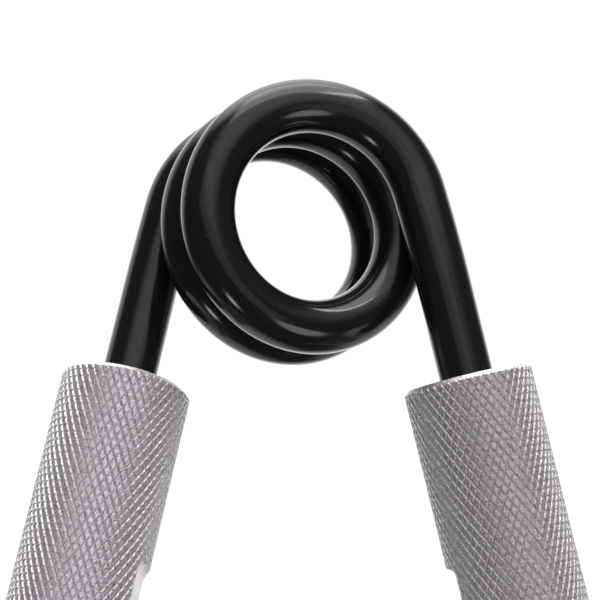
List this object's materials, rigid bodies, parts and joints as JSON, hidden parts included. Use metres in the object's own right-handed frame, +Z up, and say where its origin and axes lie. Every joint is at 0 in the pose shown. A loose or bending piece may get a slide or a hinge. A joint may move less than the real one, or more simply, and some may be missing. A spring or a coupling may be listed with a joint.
{
  "type": "hand grip strengthener",
  "caption": "Hand grip strengthener: knurled metal handles on the legs of one thick black torsion spring that winds as they are squeezed together.",
  "frame": {"origin": "centre of the coil, on its axis and halfway between its two faces; the squeeze turns about this point", "axes": "+Z up from the table that the gripper lies on, +Y from the free ends of the handles towards the coil, +X to the right handle. The coil's axis leans 13.4 degrees from +Z towards +X, because the gripper rests on its coil, on the top edge of the left handle and on the free end of the right one"},
  "size_m": [0.1186, 0.1505, 0.0284],
  "materials": {
    "spring_coating": "smooth semi-gloss black coating over spring steel",
    "handle_aluminium": "satin aluminium with a fine diamond knurl"
  },
  "bodies": {
    "left_side": {"left_handle": "handle_aluminium", "torsion_spring": "spring_coating"},
    "right_side": {"right_handle": "handle_aluminium"}
  },
  "joints": [
    {"name": "squeeze", "type": "hinge", "parent": "left_side", "child": "right_side", "pos_m": [0, 0, 0], "axis": [-0.2321, 0.0004, -0.9727], "range_deg": [0, 36.9], "stiffness_Nm_per_rad": 160, "deforming": ["torsion_spring"]}
  ]
}
